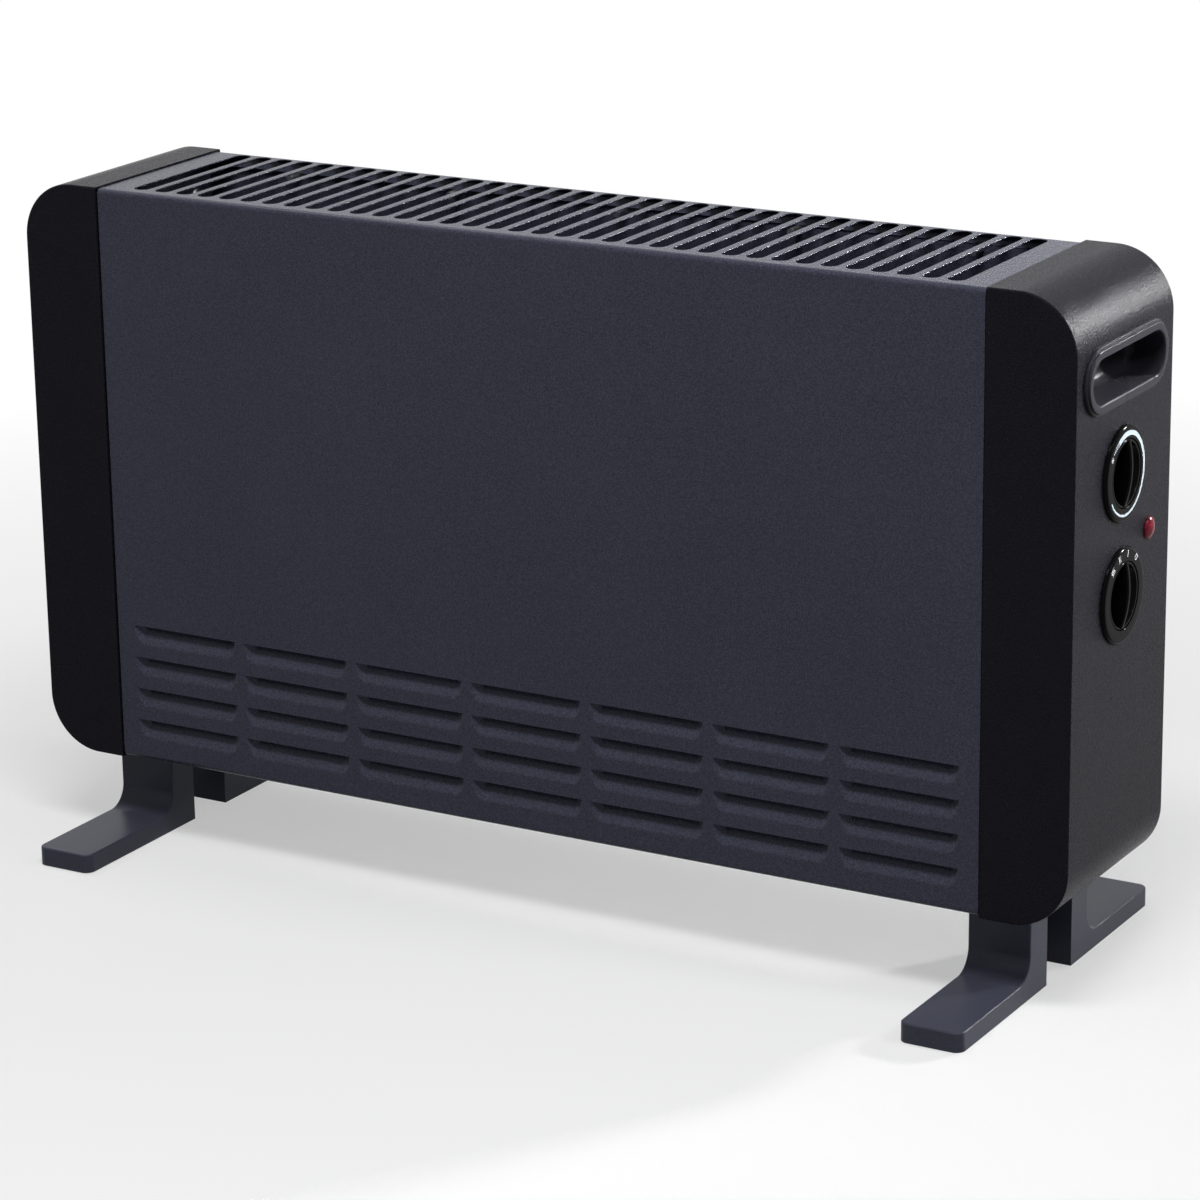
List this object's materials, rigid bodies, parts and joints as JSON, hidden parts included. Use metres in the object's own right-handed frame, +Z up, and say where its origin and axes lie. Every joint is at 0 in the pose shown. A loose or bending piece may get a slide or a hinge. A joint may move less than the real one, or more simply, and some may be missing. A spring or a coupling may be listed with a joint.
{
  "type": "convector heater",
  "caption": "Free-standing electric convector heater: slim sheet-metal body with louvred front, slotted top, moulded end caps with hand pockets, end-mounted dials and L-shaped feet.",
  "frame": {"origin": "on the floor plane under the middle of the whole heater's box", "axes": "+X along the length towards the end with the dials, -Y towards the louvred front, +Z up"},
  "size_m": [0.6071, 0.223, 0.3578],
  "materials": {
    "sheet_paint": "fine textured powder coat",
    "cap_plastic": "fine grained semi-matt moulding",
    "cup_plastic": "smooth satin moulding",
    "foot_plastic": "smooth satin moulding",
    "dial_gloss": "polished",
    "red_lens": "clear red, moulded facets behind",
    "screw_steel": "zinc plated",
    "plated_steel": "zinc plated sheet",
    "sheath_steel": "dull, heat stained",
    "fin_aluminium": "mill finish",
    "ceramic": "glazed steatite",
    "dark_phenolic": "moulded",
    "bimetal": "rolled strip",
    "brass": "machined",
    "white_nylon": "moulded",
    "black_rubber": "moulded",
    "wire_brown": "insulation",
    "wire_blue": "insulation",
    "wire_green": "insulation",
    "wire_white": "glass-braid sleeving",
    "wire_black": "insulation"
  },
  "bodies": {
    "root": {"front_casing": "sheet_paint", "rear_panel": "sheet_paint", "rear_panel_screws": "screw_steel", "left_end_cap": "cap_plastic", "right_end_cap": "cap_plastic", "cap_screws": "screw_steel", "left_handle_cup": "cup_plastic", "right_handle_cup": "cup_plastic", "left_foot": "foot_plastic", "right_foot": "foot_plastic", "foot_screws": "screw_steel", "left_element_bracket": "plated_steel", "right_element_bracket": "plated_steel", "bracket_screws": "screw_steel", "low_element_fins": "fin_aluminium", "high_element_fins": "fin_aluminium", "low_element_sheath": "sheath_steel", "high_element_sheath": "sheath_steel", "element_bushes": "ceramic", "element_terminals": "plated_steel", "rear_heat_shield": "fin_aluminium", "thermal_cutout": "dark_phenolic", "cutout_screws": "screw_steel", "control_plate": "plated_steel", "control_plate_screws": "screw_steel", "control_nuts": "plated_steel", "thermostat_body": "ceramic", "thermostat_bimetal": "bimetal", "thermostat_bezel": "dial_gloss", "switch_body": "white_nylon", "switch_bezel": "dial_gloss", "indicator_lens": "red_lens", "indicator_holder": "white_nylon", "terminal_block": "white_nylon", "terminal_block_screws": "screw_steel", "cable_gland": "black_rubber", "wire_grommet": "black_rubber", "earth_screw": "brass", "live_wire": "wire_brown", "neutral_wire": "wire_blue", "earth_wire": "wire_green", "low_element_wire": "wire_white", "high_element_wire": "wire_white", "element_link_wire": "wire_white", "cutout_wire": "wire_white", "return_wire": "wire_white", "lamp_wires": "wire_black"},
    "thermostat_dial": {"thermostat_knob": "dial_gloss", "thermostat_shaft": "plated_steel"},
    "switch_dial": {"switch_knob": "dial_gloss", "switch_shaft": "plated_steel"}
  },
  "joints": [
    {"name": "thermostat_turn", "type": "hinge", "parent": "root", "child": "thermostat_dial", "pos_m": [0.30095, 0, 0.261], "axis": [-1, 0, 0], "range_deg": [-57, 222]},
    {"name": "switch_turn", "type": "hinge", "parent": "root", "child": "switch_dial", "pos_m": [0.30095, 0, 0.2005], "axis": [-1, 0, 0], "range_deg": [-60, 30]}
  ]
}
